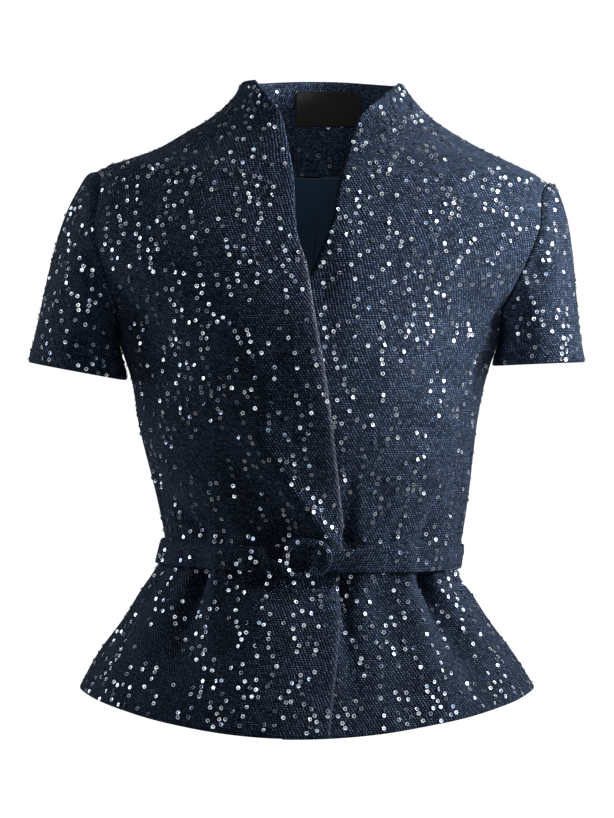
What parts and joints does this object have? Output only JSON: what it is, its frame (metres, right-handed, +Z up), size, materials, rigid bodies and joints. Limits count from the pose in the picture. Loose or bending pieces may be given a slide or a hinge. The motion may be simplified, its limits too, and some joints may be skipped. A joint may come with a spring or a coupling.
{
  "type": "short-sleeve jacket",
  "caption": "Short-sleeve wrap jacket in sequinned basketweave tweed, with a funnel collar, a fabric belt with a covered buckle and a flared peplum, in the hollow form it has when worn.",
  "frame": {"origin": "between the wearer's shoulders at the base of the neck, where the wearer holds the jacket up", "axes": "+Z up, +X to the wearer's left, the front faces -Y"},
  "size_m": [0.4735, 0.2714, 0.5484],
  "materials": {
    "tweed": "matt navy basketweave with small clear silver sequins",
    "lining": "dark teal silk, satin sheen",
    "label": "matt black woven tape"
  },
  "bodies": {
    "root": {"front_right": "tweed", "front_left": "tweed", "back": "tweed", "sleeve_right": "tweed", "sleeve_left": "tweed", "peplum_front_right": "tweed", "peplum_front_left": "tweed", "peplum_back": "tweed", "belt_strap": "tweed", "belt_buckle": "tweed", "back_neck_facing": "tweed", "back_lining": "lining", "neck_label": "label"}
  },
  "joints": []
}
